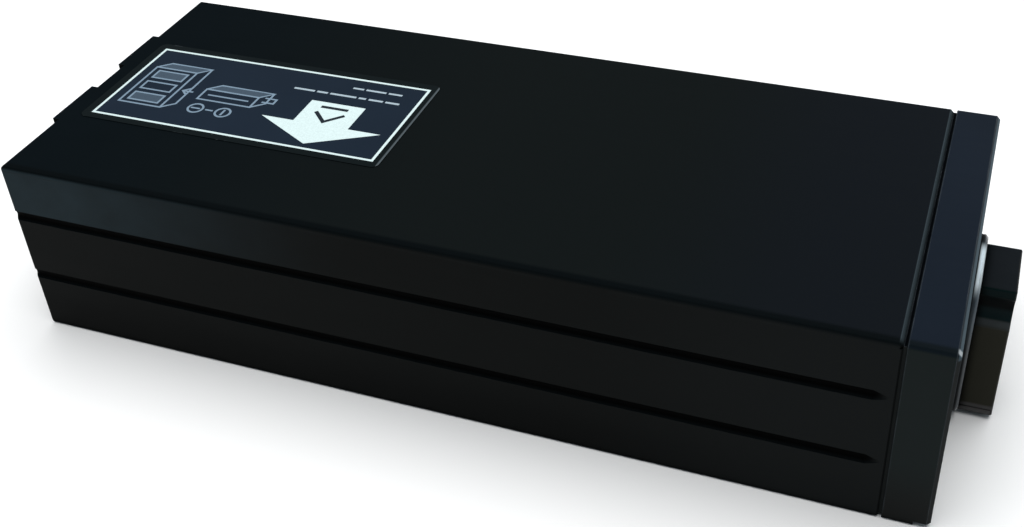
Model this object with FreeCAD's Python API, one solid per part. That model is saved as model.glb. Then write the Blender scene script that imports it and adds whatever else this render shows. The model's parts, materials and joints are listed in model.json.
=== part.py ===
import FreeCAD, Part
import os

# UPS battery cartridge: a moulded case that holds eight sealed 12 V blocks in series.
# Millimetres. The origin is the centre of the case's underside. +X points to the
# handle end, +Z to the labelled top and +Y to the far long side.

V = FreeCAD.Vector
AX = V(1, 0, 0)
AY = V(0, 1, 0)
AZ = V(0, 0, 1)

# ---------------------------------------------------------------- driving sizes
# Sealed battery block
block_length = 151.0
block_width = 65.0
block_height = 94.0
block_corner_chamfer = 1.6
block_lid_height = 8.0
block_joint_width = 1.0
block_joint_depth = 0.6
vent_cover_length = 84.0
vent_cover_width = 38.0
vent_cover_groove = 1.2
vent_cover_groove_depth = 0.8
terminal_inset = 9.0          # tab centre from the block's end
terminal_offset = 24.5        # tab centre from the block's centre line
terminal_pocket_length = 14.0
terminal_pocket_width = 12.0
terminal_pocket_depth = 3.0
tab_width = 6.35
tab_thickness = 0.8
tab_height = 7.95
tab_base_size = 8.5
tab_base_thickness = 1.0
tab_chamfer = 1.0

# How the blocks are packed
block_side_gap = 0.25
rear_pad_thickness = 3.0
row_pad_thickness = 4.0
row_pad_height = 58.0
floor_pad_thickness = 2.0
floor_pad_margin = 3.0
headroom = 10.1               # from the block tops to the underside of the lid
end_spacer_length = 37.0
columns = 3
rows = 3

# Case walls
side_wall = 3.5
rear_wall = 3.5
front_wall = 3.5
tray_floor = 3.0
lid_thickness = 2.4
corner_radius = 2.0           # rear corners and the long bottom edges
top_edge_radius = 2.0
end_edge_chamfer = 0.8        # tray's front end, at the cap seam
lid_end_chamfer = 1.6         # lid's front edge, at the cap seam

# Stiffening grooves along both long sides
groove_height = 6.2
groove_depth = 2.0
upper_groove_z = 79.0
lower_groove_z = 37.8
groove_stop = 2.8             # from the groove's end to the cap seam
groove_taper = 7.0            # length of the groove's run-out

# Front cap
cap_depth = 23.0
seam_width = 1.7
seam_depth = 1.7
cap_front_chamfer = 1.9
cap_rear_chamfer = 0.3
cap_relief_length = 8.0
cap_relief_height = 3.0
spigot_length = 14.0
spigot_wall = 2.5
spigot_clearance = 0.3
cap_screw_spacing = 130.0      # centre to centre
cap_screw_inset = 7.0         # from the tray's front edge
cap_screw_shank = 3.9
cap_screw_head = 7.4
cap_screw_head_height = 2.2
cap_screw_length = 9.5
cap_screw_recess = 0.3        # head below the underside
cap_boss_diameter = 9.0
cap_boss_cover = 1.5           # plastic above the screw's tip
cap_latch_width = 22.0
cap_latch_spacing = 110.0
cap_latch_height = 1.0
cap_latch_length = 3.0
cap_latch_setback = 2.0       # from the spigot's rear end

# Lid
rim_thickness = 2.0
rim_depth = 4.0
rim_clearance = 0.3
rim_front_gap = 1.0           # from the rim to the cap's spigot
tab_lug_thickness = 4.0       # rear lugs, proud of the rear wall
tab_lug_drop = 14.0
tab_lug_width = 37.0
tab_lug_spacing = 64.0        # centre to centre
tab_lug_radius = 2.5
tab_lug_chamfer = 1.2
tab_bridge_reach = 1.5        # into the lug, of the web that joins it to the lid plate
tab_hook_margin = 3.0
tab_hook_height = 3.0
tab_hook_reach = 1.0
tab_hook_lift = 1.5           # hook above the lug's lower edge
hook_clearance = 0.25
side_hook_width = 14.0
side_hook_reach = 0.8
side_hook_height = 1.6
side_hook_pitch = 120.0
side_hook_count = 3

# Label on the lid
label_length = 190.0
label_width = 87.0
label_thickness = 0.3
label_corner_radius = 4.0
label_rear_inset = 10.0

# Handle
flange_width = 58.0
flange_height = 89.0
flange_thickness = 3.8
flange_corner_radius = 16.0
flange_chamfer = 1.2
flange_lift = 2.3             # flange centre above the grip's centre
grip_width = 36.0
grip_height = 83.6
grip_reach = 17.2             # in front of the flange
grip_edge_radius = 1.0
grip_front_chamfer = 0.6
grip_centre_z = 44.2
grip_groove_height = 20.0
grip_groove_depth = 4.5
grip_groove_drop = 15.0        # groove centre under the grip's top
grip_lip_height = 3.0
grip_lip_reach = 0.8
grip_lip_chamfer = 0.5
backing_plate_width = 44.0
backing_plate_height = 72.0
backing_plate_thickness = 2.0
backing_plate_chamfer = 4.0
handle_screw_z = 28.0          # above and below the grip's centre
handle_screw_shank = 6.0
handle_screw_flats = 10.0
handle_screw_head_height = 4.0
handle_screw_grip = 12.0      # thread length inside the grip
screw_clearance = 0.3
thread_clearance = 0.05
screw_tip_gap = 2.0           # bore beyond the screw's tip
screw_head_taper = 0.6
drive_width = 2.4             # square drive in a screw head
drive_depth = 1.0

# Wiring bay in the middle of the rear row
bay_wall = 2.5
bay_end_gap = 0.5
bay_wall_height = 88.0
shelf_length = 78.0
shelf_thickness = 2.5
shelf_drop = 11.0             # shelf top under the block tops
web_leg = 14.0                # depth of the web under the shelf, at the walls
web_beam = 3.0                # depth of the web between its legs
fuse_base_length = 66.0
fuse_base_width = 24.0
fuse_base_height = 7.0
fuse_stud_pitch = 42.0
fuse_stud_diameter = 5.0
fuse_stud_height = 9.0
fuse_stud_floor = 2.0         # plastic under a stud
fuse_body_length = 24.0
fuse_body_width = 14.0
fuse_body_height = 9.0
fuse_body_chamfer = 1.5
fuse_pocket_depth = 4.0       # recess in the base under the fuse
fuse_pocket_gap = 1.0
fuse_body_clearance = 0.2
fuse_lug_thickness = 1.5
fuse_lug_width = 12.0
fuse_lug_chamfer = 3.0
fuse_nut_flats = 8.0
fuse_nut_height = 4.0
nut_clearance = 0.4
fuse_end_gap = 5.0            # fuse base to the front of the bay
fuse_line_y = 18.0

# Output connector in the rear wall
connector_width = 54.0
connector_height = 26.0
connector_length = 40.0
connector_centre_z = 53.0
connector_clearance = 0.3
connector_flange_margin = 5.0  # round the connector's body
connector_chamfer = 2.0
socket_width = 14.0
socket_height = 14.0
socket_depth = 31.0
socket_pitch = 26.0
contact_width = 10.0
contact_thickness = 2.0
contact_tail = 9.0
contact_setback = 4.0
contact_chamfer = 1.0
connector_screw_inset = 2.0   # from the flange's end
connector_screw_shank = 3.0
connector_screw_head = 6.0
connector_screw_head_height = 2.0
connector_screw_tip = 0.1     # screw tip short of the flange's inner face
lead_foot_gap = 0.5           # from the connector to the strip on the tail

# Series links
link_width = 8.0
link_thickness = 0.8
link_lift = 0.3               # strip above the tab
clip_length = 8.4
clip_width = 3.4
clip_height = 5.6
clip_clearance = 0.1

# Foam pads
lid_pad_length = 96.0
lid_pad_width = 40.0
lid_pad_inset = 6.0           # from the block's far end
rear_pad_inset = 4.0          # from the block's sides

# Spacer between the front row and the cap
spacer_plate = 3.0
spacer_rib = 2.0
spacer_rib_count = 4          # upright ribs on each side of the handle plate
spacer_side_gap = 1.5
spacer_top_gap = 2.0
spacer_boss_gap = 1.0
spacer_opening_gap = 4.0      # each side of the handle plate

overcut = 1.0                 # how far a cutter runs past the surface that it opens
tolerance = 0.01              # when a point counts as lying in a plane
parallel = 0.999              # cosine from which an edge counts as lying along an axis

# ---------------------------------------------------------------- worked-out places
inner_width = columns * block_width + (columns + 1) * block_side_gap
case_width = inner_width + 2 * side_wall
row_pitch = block_length + row_pad_thickness
stack_length = rows * block_length + (rows - 1) * row_pad_thickness
case_length = rear_wall + rear_pad_thickness + stack_length + end_spacer_length + front_wall
case_height = tray_floor + floor_pad_thickness + block_height + headroom + lid_thickness

half_width = case_width / 2
half_inner = inner_width / 2
x_rear = -case_length / 2
x_front = case_length / 2
x_cap = x_front - cap_depth                 # rear edge of the cap's outer skin
x_body = x_cap - seam_width                 # front edge of tray and lid
x_rear_inner = x_rear + rear_wall
x_front_inner = x_front - front_wall
x_blocks = x_rear_inner + rear_pad_thickness
x_spacer = x_blocks + stack_length
z_lid = case_height - lid_thickness
z_block = tray_floor + floor_pad_thickness
z_block_top = z_block + block_height
column_pitch = block_width + block_side_gap
z_tab = z_block_top - terminal_pocket_depth
z_tab_top = z_tab + tab_base_thickness + tab_height
z_link = z_tab_top + link_lift
x_spigot = x_body - spigot_length
x_latch = x_spigot + cap_latch_setback
z_spigot = tray_floor + spigot_clearance
z_spigot_top = z_lid - spigot_clearance
z_cap_bore = cap_screw_recess + cap_screw_length + screw_clearance
z_cap_boss = z_cap_bore + cap_boss_cover
foot_reach = fuse_nut_flats / 3 ** 0.5 + nut_clearance + link_thickness
flange_centre_z = grip_centre_z + flange_lift
connector_flange_width = connector_width + 2 * connector_flange_margin
connector_flange_height = connector_height + 2 * connector_flange_margin
connector_screw_y = connector_flange_width / 2 - connector_screw_inset
connector_screw_length = rear_wall + rear_pad_thickness - connector_screw_tip


# ---------------------------------------------------------------- helpers
def box(x0, x1, y0, y1, z0, z1):
    return Part.makeBox(x1 - x0, y1 - y0, z1 - z0, V(x0, y0, z0))


def sided_box(x0, x1, half_y, z0, z1):
    return box(x0, x1, -half_y, half_y, z0, z1)


def cylinder(centre, axis, radius, length):
    return Part.makeCylinder(radius, length, centre, axis)


def prism(points, direction):
    wire = Part.makePolygon(points + [points[0]])
    return Part.Face(wire).extrude(direction)


def edges_along(shape, axis, test):
    found = []
    for edge in shape.Edges:
        if len(edge.Vertexes) != 2:
            continue
        step = edge.Vertexes[1].Point.sub(edge.Vertexes[0].Point)
        if step.Length > 0 and abs(step.dot(axis)) > parallel * step.Length and test(edge.CenterOfMass):
            found.append(edge)
    return found


def edges_in_plane(shape, axis, level):
    found = []
    for edge in shape.Edges:
        if all(abs(v.Point.dot(axis) - level) < tolerance for v in edge.Vertexes):
            if abs(edge.CenterOfMass.dot(axis) - level) < tolerance:
                found.append(edge)
    return found


def rounded(shape, radius, edges):
    return shape.makeFillet(radius, edges)


def chamfered(shape, size, edges):
    return shape.makeChamfer(size, edges)


def upright_plate(x0, x1, width, height, centre_z):
    """Plate across the cartridge."""
    return sided_box(x0, x1, width / 2, centre_z - height / 2, centre_z + height / 2)


def hexagon_prism(centre, axis, flats, height):
    """Hexagon across the axis, drawn out along it."""
    corner = V(axis.y, axis.z, axis.x) * (flats / 3 ** 0.5)
    points = [centre.add(FreeCAD.Rotation(axis, 60 * i).multVec(corner)) for i in range(6)]
    return prism(points, axis * height)


def through_hole(x0, x1, place, radius):
    """Cutter for a hole along X that is open at both ends."""
    return cylinder(V(x0 - overcut, place.y, place.z), AX, radius, x1 - x0 + 2 * overcut)


def screw(seat, axis, head_radius, head_height, shank_radius, length):
    """Cone-headed screw: its head stands back from the seat, its shank runs along the axis."""
    top = seat.sub(axis * head_height)
    head = Part.makeCone(head_radius - screw_head_taper, head_radius, head_height, top, axis)
    across = V(axis.y, axis.z, axis.x) * (drive_width / 2)
    side = axis.cross(across)
    corners = [top.add(across).add(side), top.add(across).sub(side),
               top.sub(across).sub(side), top.sub(across).add(side)]
    drive = prism([corner.sub(axis * overcut) for corner in corners], axis * (drive_depth + overcut))
    return head.cut(drive).fuse(cylinder(seat, axis, shank_radius, length))


# ---------------------------------------------------------------- case
def groove_cutter(side, z):
    """Shallow round-bottomed channel, open at the rear and run out at the front."""
    radius = (groove_height ** 2 / 4 + groove_depth ** 2) / (2 * groove_depth)
    y = side * (half_width - groove_depth + radius)
    x_taper = x_body - groove_stop - groove_taper
    x_start = x_rear - overcut
    channel = cylinder(V(x_start, y, z), AX, radius, x_taper - x_start)
    run_out = Part.makeCone(radius, radius - groove_depth, groove_taper, V(x_taper, y, z), AX)
    return channel.fuse(run_out)


def tab_lug_places():
    return [-tab_lug_spacing / 2, tab_lug_spacing / 2]


def side_hook_places():
    first = -(side_hook_count - 1) / 2 * side_hook_pitch
    return [first + i * side_hook_pitch for i in range(side_hook_count)]


def cap_screw_places():
    x = x_body - cap_screw_inset
    return [V(x, y, 0) for y in (-cap_screw_spacing / 2, cap_screw_spacing / 2)]


def cap_latch_places():
    return [-cap_latch_spacing / 2, cap_latch_spacing / 2]


def make_case_tray():
    body = sided_box(x_rear, x_body, half_width, 0, z_lid)
    body = rounded(body, corner_radius, edges_along(body, AZ, lambda c: c.x < 0))
    bottom = edges_in_plane(body, AZ, 0)
    body = rounded(body, corner_radius, [e for e in bottom if e.CenterOfMass.x < x_body - tolerance])
    end = [e for e in edges_in_plane(body, AX, x_body) if e.CenterOfMass.z < z_lid - tolerance]
    body = chamfered(body, end_edge_chamfer, end)

    cavity = sided_box(x_rear_inner, x_body + overcut, half_inner, tray_floor, z_lid + overcut)
    body = body.cut(cavity)
    for side in (-1, 1):
        for z in (upper_groove_z, lower_groove_z):
            body = body.cut(groove_cutter(side, z))

    window = sided_box(x_rear - overcut, x_rear_inner + overcut,
                       connector_width / 2 + connector_clearance,
                       connector_centre_z - connector_height / 2 - connector_clearance,
                       connector_centre_z + connector_height / 2 + connector_clearance)
    body = body.cut(window)
    for place in connector_screw_places():
        body = body.cut(through_hole(x_rear, x_rear_inner, place,
                                     connector_screw_shank / 2 + screw_clearance))

    z_hook = case_height - tab_lug_drop + tab_hook_lift
    half = tab_lug_width / 2 + hook_clearance
    for y in tab_lug_places():
        pocket = box(x_rear - overcut, x_rear + tab_hook_reach + hook_clearance, y - half, y + half,
                     z_hook - hook_clearance, z_hook + tab_hook_height + hook_clearance)
        body = body.cut(pocket)

    z_side = z_lid - rim_depth
    half = side_hook_width / 2 + hook_clearance
    for x in side_hook_places():
        pocket = sided_box(x - half, x + half,
                           half_inner - rim_clearance + side_hook_reach + hook_clearance,
                           z_side - hook_clearance, z_side + side_hook_height + hook_clearance)
        body = body.cut(pocket)

    for place in cap_screw_places():
        body = body.cut(screw_hole_up(place))
    return body


def screw_hole_up(place):
    """Counterbored hole for a screw driven up through the floor."""
    start = place.sub(AZ * overcut)
    bore = cylinder(start, AZ, cap_screw_shank / 2 + screw_clearance, tray_floor + 2 * overcut)
    sink = cylinder(start, AZ, cap_screw_head / 2 + screw_clearance,
                    cap_screw_recess + cap_screw_head_height + overcut)
    return bore.fuse(sink)


def make_tab_lug(y):
    """Lug behind the rear wall that hooks the lid into the tray."""
    y0 = y - tab_lug_width / 2
    y1 = y + tab_lug_width / 2
    x_face = x_rear - tab_lug_thickness
    z_low = case_height - tab_lug_drop
    lug = box(x_face, x_rear, y0, y1, z_low, case_height)
    lug = rounded(lug, tab_lug_radius, edges_along(lug, AX, lambda c: c.z < case_height - tolerance))
    lug = chamfered(lug, tab_lug_chamfer, edges_in_plane(lug, AX, x_face))
    lug = lug.cut(box(x_rear - hook_clearance, x_rear, y0, y1, z_low, z_lid))
    bridge = box(x_rear - tab_bridge_reach, x_rear + top_edge_radius, y0, y1, z_lid, case_height)
    x_root = x_rear - hook_clearance
    z_hook = z_low + tab_hook_lift
    z_edge = z_hook + tab_hook_height
    hook = prism([V(x_root, y0 + tab_hook_margin, z_hook),
                  V(x_rear + tab_hook_reach, y0 + tab_hook_margin, z_edge),
                  V(x_root, y0 + tab_hook_margin, z_edge)],
                 AY * (tab_lug_width - 2 * tab_hook_margin))
    return lug.fuse([bridge, hook])


def make_side_hook(x, side):
    """Barb on the lid's rim that snaps into the side wall."""
    x0 = x - side_hook_width / 2
    root = side * (half_inner - rim_clearance)
    tip = root + side * side_hook_reach
    z_rim = z_lid - rim_depth
    return prism([V(x0, root, z_rim), V(x0, tip, z_rim + side_hook_height),
                  V(x0, root, z_rim + side_hook_height)], AX * side_hook_width)


def make_case_lid():
    plate = sided_box(x_rear, x_body, half_width, z_lid, case_height)
    plate = rounded(plate, corner_radius, edges_along(plate, AZ, lambda c: c.x < 0))
    top = edges_in_plane(plate, AZ, case_height)
    plate = rounded(plate, top_edge_radius, [e for e in top if e.CenterOfMass.x < x_body - tolerance])
    front_top = edges_along(plate, AY, lambda c: c.x > x_body - tolerance and c.z > z_lid + tolerance)
    plate = chamfered(plate, lid_end_chamfer, front_top)

    z_rim = z_lid - rim_depth
    rim_half = half_inner - rim_clearance
    rim_rear = x_rear_inner + rim_clearance
    rim_front = x_body - spigot_length - rim_front_gap
    rim = sided_box(rim_rear, rim_front, rim_half, z_rim, z_lid)
    rim = rim.cut(sided_box(rim_rear + rim_thickness, rim_front - rim_thickness,
                            rim_half - rim_thickness, z_rim - overcut, z_lid + overcut))
    lid = plate.fuse(rim)
    for x in side_hook_places():
        for side in (-1, 1):
            lid = lid.fuse(make_side_hook(x, side))
    for y in tab_lug_places():
        lid = lid.fuse(make_tab_lug(y))

    half = cap_latch_width / 2 + hook_clearance
    x0 = x_latch - hook_clearance
    x1 = x_latch + cap_latch_length + hook_clearance
    for y in cap_latch_places():
        pocket = box(x0, x1, y - half, y + half, z_lid - overcut,
                     z_spigot_top + cap_latch_height + hook_clearance)
        lid = lid.cut(pocket)
    return lid.removeSplitter()


def make_front_cap():
    skin = sided_box(x_cap, x_front, half_width, 0, case_height)
    skin = rounded(skin, top_edge_radius, edges_along(skin, AX, lambda c: c.z > z_lid))
    skin = rounded(skin, corner_radius, edges_along(skin, AX, lambda c: c.z < tolerance))
    skin = chamfered(skin, cap_front_chamfer, edges_in_plane(skin, AX, x_front))
    skin = chamfered(skin, cap_rear_chamfer, edges_in_plane(skin, AX, x_cap))
    skin = skin.cut(sided_box(x_front - cap_relief_length, x_front + overcut, half_width + overcut,
                              -overcut, cap_relief_height))

    land = sided_box(x_body, x_cap + overcut, half_width - seam_depth, seam_depth,
                     case_height - seam_depth)
    spigot_half = half_inner - spigot_clearance
    spigot = sided_box(x_spigot, x_cap + overcut, spigot_half, z_spigot, z_spigot_top)
    cavity = sided_box(x_spigot - overcut, x_front_inner, spigot_half - spigot_wall,
                       z_spigot + spigot_wall, z_spigot_top - spigot_wall)
    cap = skin.fuse([land, spigot]).cut(cavity)

    for place in cap_screw_places():
        cap = cap.fuse(cylinder(V(place.x, place.y, z_spigot), AZ, cap_boss_diameter / 2,
                                z_cap_boss - z_spigot))
    for place in cap_screw_places():
        cap = cap.cut(cylinder(place, AZ, cap_screw_shank / 2 + thread_clearance, z_cap_bore))
    for y in cap_latch_places():
        y0 = y - cap_latch_width / 2
        x_edge = x_latch + cap_latch_length
        latch = prism([V(x_latch, y0, z_spigot_top), V(x_edge, y0, z_spigot_top + cap_latch_height),
                       V(x_edge, y0, z_spigot_top)], AY * cap_latch_width)
        cap = cap.fuse(latch)
    for place in handle_screw_places():
        cap = cap.cut(through_hole(x_front_inner, x_front, place,
                                   handle_screw_shank / 2 + screw_clearance))
    return cap.removeSplitter()


def make_cap_screws():
    seat_z = cap_screw_recess + cap_screw_head_height
    return Part.makeCompound([
        screw(place.add(AZ * seat_z), AZ, cap_screw_head / 2, cap_screw_head_height,
              cap_screw_shank / 2, cap_screw_length - cap_screw_head_height)
        for place in cap_screw_places()])


# ---------------------------------------------------------------- handle
def handle_screw_places():
    return [V(0, 0, grip_centre_z + z) for z in (-handle_screw_z, handle_screw_z)]


def make_handle_flange():
    x_face = x_front + flange_thickness
    plate = upright_plate(x_front, x_face, flange_width, flange_height, flange_centre_z)
    plate = rounded(plate, flange_corner_radius, edges_along(plate, AX, lambda c: True))
    plate = chamfered(plate, flange_chamfer, edges_in_plane(plate, AX, x_face))
    for place in handle_screw_places():
        plate = plate.cut(through_hole(x_front, x_face, place,
                                       handle_screw_shank / 2 + screw_clearance))
    return plate


def make_pull_handle():
    x0 = x_front + flange_thickness
    x1 = x0 + grip_reach
    z0 = grip_centre_z - grip_height / 2
    z1 = grip_centre_z + grip_height / 2
    half = grip_width / 2
    grip = sided_box(x0, x1, half, z0, z1)
    grip = rounded(grip, grip_edge_radius, edges_along(grip, AX, lambda c: True))
    grip = chamfered(grip, grip_front_chamfer, edges_in_plane(grip, AX, x1))

    radius = (grip_groove_height ** 2 / 4 + grip_groove_depth ** 2) / (2 * grip_groove_depth)
    z_groove = z1 - grip_groove_drop
    for side in (-1, 1):
        y = side * (half - grip_groove_depth + radius)
        grip = grip.cut(through_hole(x0, x1, V(0, y, z_groove), radius))

    z_lip = z0 + grip_edge_radius
    lip = sided_box(x0, x1 - grip_edge_radius, half + grip_lip_reach, z_lip, z_lip + grip_lip_height)
    lip = chamfered(lip, grip_lip_chamfer, edges_along(lip, AX, lambda c: True))
    grip = grip.fuse(lip)
    for place in handle_screw_places():
        grip = grip.cut(cylinder(V(x0, place.y, place.z), AX, handle_screw_shank / 2 + thread_clearance,
                                 handle_screw_grip + screw_tip_gap))
    return grip.removeSplitter()


def make_backing_plate():
    x0 = x_front_inner - backing_plate_thickness
    plate = upright_plate(x0, x_front_inner, backing_plate_width, backing_plate_height,
                          grip_centre_z)
    plate = chamfered(plate, backing_plate_chamfer, edges_along(plate, AX, lambda c: True))
    for place in handle_screw_places():
        plate = plate.cut(through_hole(x0, x_front_inner, place,
                                       handle_screw_shank / 2 + screw_clearance))
    return plate


def make_handle_screws():
    """Hexagon screws from inside the cap, through plate and flange, into the grip."""
    x_seat = x_front_inner - backing_plate_thickness
    length = backing_plate_thickness + front_wall + flange_thickness + handle_screw_grip
    screws = []
    for place in handle_screw_places():
        seat = V(x_seat, place.y, place.z)
        head = hexagon_prism(seat, AX, handle_screw_flats, -handle_screw_head_height)
        screws.append(head.fuse(cylinder(seat, AX, handle_screw_shank / 2, length)))
    return Part.makeCompound(screws)


# ---------------------------------------------------------------- label
def make_label():
    x0 = x_rear + label_rear_inset
    label = box(x0, x0 + label_length, -label_width / 2, label_width / 2,
                case_height, case_height + label_thickness)
    return rounded(label, label_corner_radius, edges_along(label, AZ, lambda c: True))


# ---------------------------------------------------------------- battery blocks
# Row 0 is at the rear, column -1 is the near side. The terminals are at the
# front end (+1) or the rear end (-1) of a block. The middle of row 0 is the bay.
BLOCKS = {
    1: (0, -1, 1),
    2: (1, -1, -1),
    3: (2, -1, -1),
    4: (2, 0, -1),
    5: (2, 1, -1),
    6: (1, 0, -1),
    7: (1, 1, -1),
    8: (0, 1, 1),
}


def block_centre(number):
    row, column, _ = BLOCKS[number]
    return V(x_blocks + block_length / 2 + row * row_pitch, column * column_pitch, z_block)


def terminal_place(number, polarity):
    """Centre of a tab; the positive one is on the right of a block seen from its terminals."""
    centre = block_centre(number)
    facing = BLOCKS[number][2]
    x = centre.x + facing * (block_length / 2 - terminal_inset)
    y = centre.y - facing * polarity * terminal_offset
    return V(x, y, z_tab)


def centred_box(centre, length, width, z0, z1):
    return box(centre.x - length / 2, centre.x + length / 2,
               centre.y - width / 2, centre.y + width / 2, z0, z1)


def make_block(number):
    c = block_centre(number)
    body = centred_box(c, block_length, block_width, z_block, z_block_top)
    body = chamfered(body, block_corner_chamfer, edges_along(body, AZ, lambda p: True))
    z_joint = z_block_top - block_lid_height
    ring = centred_box(c, block_length + overcut, block_width + overcut,
                       z_joint, z_joint + block_joint_width)
    ring = ring.cut(centred_box(c, block_length - 2 * block_joint_depth,
                                block_width - 2 * block_joint_depth, z_block, z_block_top))
    moat = centred_box(c, vent_cover_length, vent_cover_width,
                       z_block_top - vent_cover_groove_depth, z_block_top + overcut)
    moat = moat.cut(centred_box(c, vent_cover_length - 2 * vent_cover_groove,
                                vent_cover_width - 2 * vent_cover_groove,
                                z_block, z_block_top + 2 * overcut))
    body = body.cut([ring, moat])
    for polarity in (-1, 1):
        body = body.cut(centred_box(terminal_place(number, polarity), terminal_pocket_length,
                                    terminal_pocket_width, z_tab, z_block_top + overcut))
    return body


def make_terminals(number):
    tabs = []
    for polarity in (-1, 1):
        place = terminal_place(number, polarity)
        z_base = z_tab + tab_base_thickness
        base = centred_box(place, tab_base_size, tab_base_size, z_tab, z_base)
        blade = centred_box(place, tab_width, tab_thickness, z_base, z_tab_top)
        top = edges_along(blade, AY, lambda p: p.z > z_tab_top - tolerance)
        tabs.append(base.fuse(chamfered(blade, tab_chamfer, top)))
    return Part.makeCompound(tabs)


# ---------------------------------------------------------------- links
def clip(tab):
    """Push-on receptacle around a tab."""
    z_mouth = z_link - clip_height
    shell = centred_box(tab, clip_length, clip_width, z_mouth, z_link)
    slot = centred_box(tab, tab_width + 2 * clip_clearance, tab_thickness + 2 * clip_clearance,
                       z_mouth - overcut, z_link)
    return shell.cut(slot)


def strip(route):
    """Flat strip over corner points that lie along X or Y from one another."""
    pieces = []
    h = link_width / 2
    for a, b in zip(route, route[1:]):
        pieces.append(box(min(a.x, b.x) - h, max(a.x, b.x) + h, min(a.y, b.y) - h,
                          max(a.y, b.y) + h, z_link, z_link + link_thickness))
    bar = pieces[0]
    for piece in pieces[1:]:
        bar = bar.fuse(piece)
    return bar


LINKS = {
    "series_link_1_2": (1, 2),
    "series_link_2_3": (2, 3),
    "series_link_3_4": (3, 4),
    "series_link_4_5": (4, 5),
    "series_link_5_6": (5, 6),
    "series_link_6_7": (6, 7),
    "series_link_7_8": (7, 8),
}


def make_series_link(first, second):
    a = terminal_place(first, 1)
    b = terminal_place(second, -1)
    if abs(a.x - b.x) > tolerance and abs(a.y - b.y) > tolerance:
        middle = (a.x + b.x) / 2
        route = [a, V(middle, a.y, 0), V(middle, b.y, 0), b]
    else:
        route = [a, b]
    return strip(route).fuse([clip(a), clip(b)]).removeSplitter()


# ---------------------------------------------------------------- wiring bay
bay_half = block_width / 2
x_bay = x_blocks + bay_end_gap
x_bay_end = x_blocks + block_length - bay_end_gap
z_shelf = z_block_top - shelf_drop
x_fuse = x_bay_end - fuse_end_gap - fuse_base_length / 2
z_fuse = z_shelf + fuse_base_height
z_stud = z_shelf + fuse_stud_floor
stud_places = [V(x_fuse + fuse_stud_pitch / 2, fuse_line_y, z_fuse),
               V(x_fuse - fuse_stud_pitch / 2, fuse_line_y, z_fuse)]
x_connector_end = x_rear + connector_length
z_socket_floor = connector_centre_z - socket_height / 2


def make_bay_bracket():
    floor = sided_box(x_bay, x_bay_end, bay_half, z_block, z_block + bay_wall)
    shelf = sided_box(x_bay_end - shelf_length, x_bay_end, bay_half,
                      z_shelf - shelf_thickness, z_shelf)
    bracket = floor.fuse(shelf)
    for side in (-1, 1):
        y0 = min(side * bay_half, side * (bay_half - bay_wall))
        wall = box(x_bay, x_bay_end, y0, y0 + bay_wall, z_block, z_block + bay_wall_height)
        bracket = bracket.fuse(wall)
    for x in (x_bay_end - bay_wall, x_bay_end - shelf_length):
        z = z_shelf - shelf_thickness
        web = prism([V(x, -bay_half, z), V(x, bay_half, z), V(x, bay_half, z - web_leg),
                     V(x, bay_half - web_leg, z - web_beam), V(x, web_leg - bay_half, z - web_beam),
                     V(x, -bay_half, z - web_leg)], AX * bay_wall)
        bracket = bracket.fuse(web)
    return bracket.removeSplitter()


def make_fuse_base():
    centre = V(x_fuse, fuse_line_y, 0)
    base = centred_box(centre, fuse_base_length, fuse_base_width, z_shelf, z_fuse)
    pocket = centred_box(centre, fuse_body_length + 2 * fuse_pocket_gap, fuse_base_width + overcut,
                         z_fuse - fuse_pocket_depth, z_fuse + overcut)
    base = base.cut(pocket)
    for stud in stud_places:
        base = base.cut(cylinder(V(stud.x, stud.y, z_stud), AZ,
                                 fuse_stud_diameter / 2 + thread_clearance, fuse_base_height))
    return base


def make_fuse_studs():
    length = z_fuse - z_stud + fuse_stud_height
    return Part.makeCompound([cylinder(V(stud.x, stud.y, z_stud), AZ, fuse_stud_diameter / 2, length)
                              for stud in stud_places])


def make_fuse():
    centre = V(x_fuse, fuse_line_y, 0)
    z_lug_top = z_fuse + fuse_lug_thickness
    lugs = centred_box(centre, fuse_stud_pitch + fuse_lug_width, fuse_lug_width, z_fuse, z_lug_top)
    lugs = chamfered(lugs, fuse_lug_chamfer, edges_along(lugs, AZ, lambda c: True))
    for stud in stud_places:
        lugs = lugs.cut(cylinder(V(stud.x, stud.y, z_fuse - overcut), AZ,
                                 fuse_stud_diameter / 2 + screw_clearance,
                                 fuse_lug_thickness + 2 * overcut))
    z_body = z_fuse - fuse_pocket_depth + fuse_body_clearance
    body = centred_box(centre, fuse_body_length, fuse_body_width, z_body, z_body + fuse_body_height)
    body = chamfered(body, fuse_body_chamfer, edges_along(body, AX, lambda c: True))
    return lugs.fuse(body).removeSplitter()


def make_fuse_nuts():
    nuts = []
    for stud in stud_places:
        z0 = z_fuse + fuse_lug_thickness + link_thickness
        nut = hexagon_prism(V(stud.x, stud.y, z0), AZ, fuse_nut_flats, fuse_nut_height)
        nuts.append(nut.cut(cylinder(V(stud.x, stud.y, z0 - overcut), AZ,
                                     fuse_stud_diameter / 2 + thread_clearance,
                                     fuse_nut_height + 2 * overcut)))
    return Part.makeCompound(nuts)


def stud_foot(stud):
    """Strip end with a hole, clamped on the fuse lug."""
    z0 = z_fuse + fuse_lug_thickness
    h = link_width / 2
    foot = box(stud.x - foot_reach, stud.x + foot_reach, stud.y - h, stud.y + h,
               z0, z0 + link_thickness)
    return foot.cut(cylinder(V(stud.x, stud.y, z0 - overcut), AZ,
                             fuse_stud_diameter / 2 + screw_clearance,
                             link_thickness + 2 * overcut))


def drop(x, y, z0, z1):
    """Upright length of strip, its flat side facing the rear."""
    h = link_width / 2
    return box(x, x + link_thickness, y - h, y + h, z0, z1)


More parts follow.
